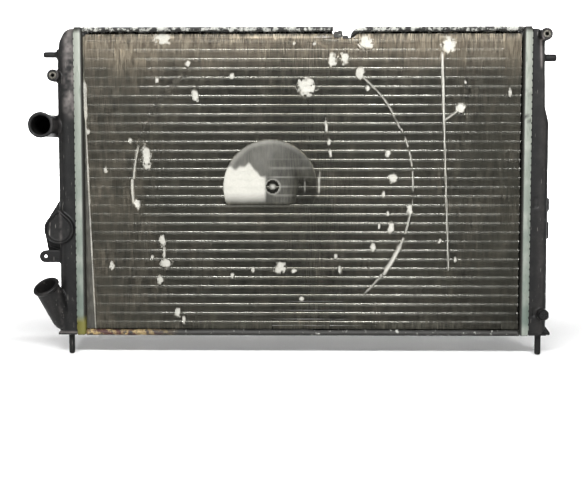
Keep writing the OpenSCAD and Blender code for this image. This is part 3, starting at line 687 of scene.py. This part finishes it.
# ------------------------------------------------------------ header pans and side plates
def pan_outline():
    """A rounded upright rectangle of the pan, in Y and Z, with points every few millimetres."""
    half, top, r = PAN_HALF_Y, PAN_TOP, 4.0
    points = []
    for cy, cz, start in ((half - r, top - r, 0), (r - half, top - r, 90), (r - half, r, 180),
                          (half - r, r, 270)):
        turn = np.radians(start + np.linspace(0, 90, 7))
        points += list(zip(cy + r * np.cos(turn), cz + r * np.sin(turn)))
    full = []
    for (ay, az), (by, bz) in zip(points, points[1:] + points[:1]):
        steps = max(1, int(round(math.hypot(by - ay, bz - az) / 5)))
        full += [(ay + (by - ay) * k / steps, az + (bz - az) * k / steps) for k in range(steps)]
    return np.array(full)


def build_pan(name, side, cracks):
    """A header pan: a pressed sheet dish with round bends, slightly dented along its front, and
    with short slanting cracks at the given heights."""
    sheet, bend = 1.5, 3.4
    rim = PAN_OUTER - 1.4
    turn = np.radians(np.linspace(0, 90, 6))
    path = [(rim, 0.0)]
    for r, angles in ((bend, turn), (bend - sheet, turn[::-1])):
        path += [(PAN_INNER + bend - r * math.sin(a), bend - r * math.cos(a)) for a in angles]
    path.append((rim, sheet))
    outline = pan_outline()
    count = len(outline)
    points, grime_and_shade = [], []
    for out, inset in path:
        y = outline[:, 0] * ((PAN_HALF_Y - inset) / PAN_HALF_Y)
        z = PAN_TOP / 2 + (outline[:, 1] - PAN_TOP / 2) * (1 - 2 * inset / PAN_TOP)
        front = rise(-y, 17, 20)
        dent = 0.35 * (1 + soft_noise(z, 0, 26, 51 + side)) * front
        mark = sum(np.exp(-((z - at + (out - 298) * 0.6) / 1.3) ** 2) for at in cracks) * front
        y = y + dent * 0.5 + 0.7 * mark
        points.append(np.stack([np.full(count, side * out), y, z], 1))
        # Painted shade: the inner bend beside the core is darkened, besides the cracks and the dark
        # top end.
        grime_and_shade.append(np.clip(mark + (1 - rise(out, PAN_INNER + 1.8, PAN_INNER + 4.2))
                             + 0.9 * rise(z + 1.5 * soft_noise(z, y, 3, 52), 405, 409), 0, 1))
    base_out, base_in = len(turn), len(turn) + 1  # the rings round the dish's flat base
    faces = []
    for r in range(len(path)):
        after = (r + 1) % len(path)
        if r == base_out:
            continue
        faces += [(count * r + k, count * r + (k + 1) % count,
                   count * after + (k + 1) % count, count * after + k) for k in range(count)]
    faces += [tuple(range(base * count, (base + 1) * count)) for base in (base_out, base_in)]
    node = name.replace("_pan", "_header_plate")
    make_piece(name, np.concatenate(points), faces, HEADER_SHEET, [node],
               {"grime_and_shade": np.concatenate(grime_and_shade)})


def tooth_row_tree():
    """A row of crimp teeth: a strip bent over the tank's foot, repeated along a line."""
    tree, given = group_tree("crimp_row", {
        "Count": "NodeSocketInt", "Pitch": "NodeSocketFloat", "Tooth width": "NodeSocketFloat",
        "Sheet": "NodeSocketFloat", "Bend start": "NodeSocketVector",
        "Bend corner": "NodeSocketVector", "Bend end": "NodeSocketVector"})
    path = add(tree, "GeometryNodeCurveQuadraticBezier", {
        "Resolution": 6, "Start": given["Bend start"], "Middle": given["Bend corner"],
        "End": given["Bend end"]})
    level = add(tree, "GeometryNodeSetCurveNormal", {0: path.outputs[0]}, mode="Z_UP")
    section = add(tree, "GeometryNodeCurvePrimitiveQuadrilateral", {0: given["Sheet"],
                                                                    1: given["Tooth width"]})
    rounded = add(tree, "GeometryNodeFilletCurve", {0: section.outputs[0], "Count": 2,
                                                    "Radius": 0.0005}, mode="POLY")
    tooth = add(tree, "GeometryNodeCurveToMesh", {0: level.outputs[0], 1: rounded.outputs[0],
                                                  "Fill Caps": True})
    line = add(tree, "GeometryNodeMeshLine", {"Count": given["Count"]}, mode="OFFSET")
    step = add(tree, "ShaderNodeCombineXYZ", {2: given["Pitch"]})
    tree.links.new(step.outputs[0], line.inputs["Offset"])
    vary = add(tree, "FunctionNodeRandomValue", {"Seed": 7}, data_type="FLOAT_VECTOR")
    vary.inputs[0].default_value = (0.92, 0.9, 0.88)
    vary.inputs[1].default_value = (1.0, 1.0, 1.1)
    placed = add(tree, "GeometryNodeInstanceOnPoints", {"Points": line.outputs[0],
                                                        "Instance": tooth.outputs[0],
                                                        "Scale": vary.outputs[0]})
    real = add(tree, "GeometryNodeRealizeInstances", {0: placed.outputs[0]})
    dressed = add(tree, "GeometryNodeSetMaterial", {"Geometry": real.outputs[0],
                                                    "Material": HEADER_SHEET})
    add(tree, "NodeGroupOutput", {0: dressed.outputs[0]})
    return tree


def build_teeth(tree, name, side, face, node):
    """The crimp teeth along one long edge of a pan."""
    count, pitch, width, sheet, hook = 43, 9.3, 7.0, 1.3, 2.4
    first_z = 11.2
    rim = PAN_OUTER - 1.6
    reach = PAN_OUTER - 0.75
    sizes = {"Count": count, "Pitch": pitch * MM, "Tooth width": width * MM, "Sheet": sheet * MM,
             "Bend start": (0.0, 0.0, 0.0),
             "Bend corner": (side * (reach - rim) * MM, 0.0, 0.0),
             "Bend end": (side * (reach - rim) * MM, -face * hook * MM, 0.0)}
    mesh = bake_tree(name, tree, sizes)
    shift = np.array([MID_X + side * rim, face * (PAN_HALF_Y - sheet / 2 - 0.15), first_z])
    placed = mesh_points(mesh) + shift * MM
    mesh.vertices.foreach_set("co", placed.ravel())
    mesh.update()
    tidy = bmesh.new()
    tidy.from_mesh(mesh)
    bmesh.ops.remove_doubles(tidy, verts=tidy.verts, dist=1e-7)
    bmesh.ops.recalc_face_normals(tidy, faces=tidy.faces)
    tidy.to_mesh(mesh)
    tidy.free()
    mesh.shade_smooth()
    set_values(mesh, {"grime_and_shade": np.zeros(len(mesh.vertices))})
    place_piece(name, mesh, [node])


def channel_section(reach, lip):
    """A channel's closed section: Y and depth under the web, with round bends and its sheet."""
    r, sheet = 1.6, 1.2
    turn = np.radians(np.linspace(0, 90, 5))
    outer = [(-reach, lip)] + [(-reach + r - r * math.cos(a), r - r * math.sin(a)) for a in turn]
    outer += [(y, 0.0) for y in (-9.5, -8.0, -6.5, 0.0, 6.5, 8.0, 9.5)]
    outer += [(reach - r + r * math.cos(a), r - r * math.sin(a)) for a in turn[::-1]]
    outer.append((reach, lip))
    inner = [(y * (1 - sheet / reach), max(d, sheet) if d < lip else lip) for y, d in outer[::-1]]
    return np.array(outer + inner)


def build_side_plate(name, node, start, end, level, up, lip, bend_at):
    """A rolled channel over the core's end, wavy, with any torn end bent towards the core."""
    section = channel_section(PAN_HALF_Y - 3, lip)
    x = np.append(np.arange(start, end, 3.0), end)
    count, points = len(section), []
    for at in x:
        torn = sum(drop * math.exp(-abs(at - place) / 5) for place, drop in bend_at)
        near = min(1, sum(math.exp(-abs(at - place) / 4) for place, _ in bend_at))
        ragged = 1.3 * soft_noise(at, 0, 4, 61) * near
        ripple = 1 + 0.09 * soft_noise(at, section[:, 0] * 0.3, 17, 62)
        depth = np.maximum(section[:, 1] * ripple + torn + ragged, 0.02)
        depth = depth + 0.25 * (1 + soft_noise(at, 5, 23, 63)) * (section[:, 1] > 3)
        y = section[:, 0] * (1 - 0.012 * (1 + soft_noise(at, section[:, 1], 11, 64)))
        z = level - up * depth
        points.append(np.stack([np.full(count, at), y, z], 1))
    faces = strip_faces(len(x), count)
    half = count // 2
    for first in (0, count * (len(x) - 1)):
        faces += [(first + k, first + k + 1, first + count - 2 - k, first + count - 1 - k)
                  for k in range(half - 1)]
    make_piece(name, np.concatenate(points), faces, CHANNEL_SHEET, [node])


def build_scrap(name, places, thick):
    """A torn crumb of the upper side plate, hanging in the gap."""
    outline = np.array(places, float)
    front = np.stack([outline[:, 0], np.full(len(outline), -PAN_HALF_Y + 4.2), outline[:, 1]], 1)
    back = front + (0.6, thick, -0.5)
    count = len(outline)
    faces = [tuple(range(count)), tuple(range(count, 2 * count))]
    faces += [(k, (k + 1) % count, count + (k + 1) % count, count + k) for k in range(count)]
    make_piece(name, np.concatenate([front, back]), faces, CHANNEL_SHEET,
               ["upper_side_plate"], smooth=False)


TEAR_LEFT, TEAR_RIGHT = 41, 65  # the two torn ends of the upper side plate
build_pan("left_pan", -1, ())
build_pan("right_pan", 1, (326, 293))
TOOTH_ROW = tooth_row_tree()
for side, pan in ((-1, "left"), (1, "right")):
    for face, where in ((-1, "front"), (1, "back")):
        build_teeth(TOOTH_ROW, f"{pan}_{where}_crimps", side, face, f"{pan}_header_plate")
build_side_plate("upper_plate_left", "upper_side_plate", -PAN_INNER, TEAR_LEFT, PAN_TOP, 1, 6.5,
                 ((TEAR_LEFT, 1.0),))
build_side_plate("upper_plate_right", "upper_side_plate", TEAR_RIGHT, PAN_INNER, PAN_TOP, 1, 6.5,
                 ((TEAR_RIGHT, 8.0), (TEAR_RIGHT + 14, 1.2)))
build_side_plate("lower_plate", "lower_side_plate", -PAN_INNER, PAN_INNER, 0, -1, 8, ())
build_scrap("torn_scrap_large",
            [(41.5, 399.6), (46, 398.2), (51, 398.8), (53.6, 401), (53.2, 407.2),
             (49, 407.8), (46.5, 406.4), (43, 406.9), (41.2, 404)], 9)
build_scrap("torn_scrap_small",
            [(53.2, 397.6), (57, 397.2), (62, 396.9), (60.5, 400.4), (57, 401.6), (54.2, 401.2)], 6)


# ------------------------------------------------------------ moulded tanks
MOULD_GRAIN = 1.15  # the remesh's grain, which sets how round the moulded edges come out


def build_tank(node, scuff_and_sheen_at):
    """A tank with moulded, softly rounded edges, grown from the CAD tank's own shape."""
    mesh = bpy.data.objects[node].data.copy()
    shape = bmesh.new()
    shape.from_mesh(mesh)
    bmesh.ops.remove_doubles(shape, verts=shape.verts, dist=1e-6)
    bmesh.ops.recalc_face_normals(shape, faces=shape.faces)
    shape.to_mesh(mesh)
    shape.free()
    mesh.materials.clear()
    rough = bpy.data.objects.new(node + "_rough", mesh)
    bpy.context.scene.collection.objects.link(rough)
    grow = rough.modifiers.new("skin", "REMESH")
    grow.mode = "VOXEL"
    grow.voxel_size = MOULD_GRAIN * MM
    settle = rough.modifiers.new("settle", "SMOOTH")
    settle.factor, settle.iterations = 0.5, 3
    graph = bpy.context.evaluated_depsgraph_get()
    moulded = bpy.data.meshes.new_from_object(rough.evaluated_get(graph))
    bpy.data.objects.remove(rough)
    low, high = box_mm(node)
    points = np.clip(mesh_points(moulded), low * MM, high * MM)
    moulded.vertices.foreach_set("co", points.ravel())
    moulded.materials.clear()
    moulded.materials.append(TANK_NYLON)
    moulded.shade_smooth()
    place = points / MM - (MID_X, 0, 0)
    set_values(moulded, {"scuff_and_sheen": scuff_and_sheen_at(place[:, 0], place[:, 1], place[:, 2])})
    place_piece(node.replace("_tank", "_moulded_tank"), moulded, [node])


def left_scuff_and_sheen(x, y, z):
    """Dust on the front of the left tank beside the crimps and on the lower spout, and a painted
    highlight along its outer edge.
    """
    blotch = 0.5 + 0.5 * soft_noise(x * 2, z, 9, 31) + 0.3 * soft_noise(x, z, 3, 32)
    front = 1 - rise(y, -17.5, -15)
    beside = rise(x, -323, -312) * (1 - rise(x, -303, -300)) * rise(z, 285, 305)
    # Painted highlight: a pale band along the tank's outer edge.
    edge = np.exp(-((x + 325) / 2) ** 2) * 0.35
    spout = (1 - rise(z, 66, 88)) * (1 - rise(y, -22, -12)) * (1 - rise(x, -336, -326))
    flange = np.exp(-((z - 3.5) / 1.5) ** 2) * 0.6
    return np.clip(front * (0.9 * beside + edge) * blotch + 0.06 * spout * blotch + flange, 0, 1)


def right_scuff_and_sheen(x, y, z):
    """A pale scratch on the right tank, and a painted highlight along its outer edge."""
    blotch = 0.5 + 0.5 * soft_noise(x * 2, z, 9, 33) + 0.3 * soft_noise(x, z, 3, 34)
    front = 1 - rise(y, -17.5, -15)
    # Painted highlight: a pale band along the tank's outer edge.
    outer = rise(x, 310, 326) * 0.1
    scratch = np.exp(-((x - 316 + 0.04 * (z - 380)) / 1.2) ** 2) * rise(z, 356, 362)
    scratch = scratch * (1 - rise(z, 400, 404))
    return np.clip(front * (outer * (0.6 + blotch) + 0.9 * scratch), 0, 1)


build_tank("left_tank", left_scuff_and_sheen)
build_tank("right_tank", right_scuff_and_sheen)


# ------------------------------------------------------------ finishes of the CAD nodes that stay
NODE_FINISH = {
    "left_gasket": RUBBER, "right_gasket": RUBBER, "flow_baffle": PLUG_NYLON,
    "upper_front_tubes": DRAWN_TUBE, "upper_rear_tubes": DRAWN_TUBE,
    "lower_front_tubes": DRAWN_TUBE, "lower_rear_tubes": DRAWN_TUBE,
    "upper_front_turbulators": FOLDED_STRIP, "upper_rear_turbulators": FOLDED_STRIP,
    "lower_front_turbulators": FOLDED_STRIP, "lower_rear_turbulators": FOLDED_STRIP,
    "upper_left_bush": BUSH_BRASS, "upper_right_bush": BUSH_BRASS,
    "drain_plug": PLUG_NYLON, "drain_seal": RUBBER}
for node, finish in NODE_FINISH.items():
    for slot in bpy.data.objects[node].material_slots:
        slot.material = finish


# ------------------------------------------------------------ studio
def build_studio():
    """A low sweep of pale paper, a soft key in front and above, a wash on the sweep behind, and a
    weak fill at each side."""
    centre = MID_X * MM
    floor = bpy.data.meshes.new("paper_floor")
    bend, bend_y, wall_top, reach = 0.8, 2.2, 1.5, 6.0
    arc = [(bend_y + bend * math.sin(a), bend - bend * math.cos(a))
           for a in np.linspace(0, math.pi / 2, 13)]
    line = [(-reach, 0.0)] + arc + [(bend_y + bend, wall_top)]
    points = [(centre + side, y, FLOOR_Z + z) for y, z in line for side in (-reach, reach)]
    faces = [(2 * i, 2 * i + 1, 2 * i + 3, 2 * i + 2) for i in range(len(line) - 1)]
    floor.from_pydata(points, [], faces)
    floor.materials.append(studio_finish())
    floor.shade_smooth()
    sweep = bpy.data.objects.new("paper_floor", floor)
    bpy.context.scene.collection.objects.link(sweep)
    for name, place, aim, wide, tall, power, spread in (
            ("soft_key", (centre, -2.3, 1.42), (centre, 0, 0.1), 2.0, 0.26, 122, 180),
            ("sweep_wash", (centre, 1.4, 3.0), (centre, 2.2, 0.0), 5.0, 0.5, 190, 72),
            ("left_fill", (centre - 1.9, -0.7, 0.5), (centre, 0, 0.2), 0.8, 1.2, 3, 180),
            ("right_fill", (centre + 1.9, -0.7, 0.5), (centre, 0, 0.2), 0.8, 1.2, 3, 180)):
        lamp = bpy.data.lights.new(name, "AREA")
        lamp.shape, lamp.size, lamp.size_y, lamp.energy = "RECTANGLE", wide, tall, power
        lamp.spread = math.radians(spread)
        holder = bpy.data.objects.new(name, lamp)
        holder.location = place
        holder.rotation_euler = (Vector(aim) - Vector(place)).to_track_quat("-Z", "Y").to_euler()
        bpy.context.scene.collection.objects.link(holder)
    world = bpy.data.worlds.new("studio_air")
    world.use_nodes = True
    world.node_tree.nodes["Background"].inputs[0].default_value = (1, 1, 1, 1)
    world.node_tree.nodes["Background"].inputs[1].default_value = 0.2
    bpy.context.scene.world = world
    camera = bpy.data.cameras.new("camera")
    camera.lens, camera.sensor_width, camera.clip_start = 68.25, 36, 0.05
    stand = bpy.data.objects.new("camera", camera)
    stand.location = (0.3271, -1.5, 0.2267)
    stand.rotation_euler = (math.radians(90 - 4.27), 0, math.radians(0.98))
    bpy.context.scene.collection.objects.link(stand)
    bpy.context.scene.camera = stand
    bpy.context.scene.view_settings.view_transform = "Standard"


build_studio()
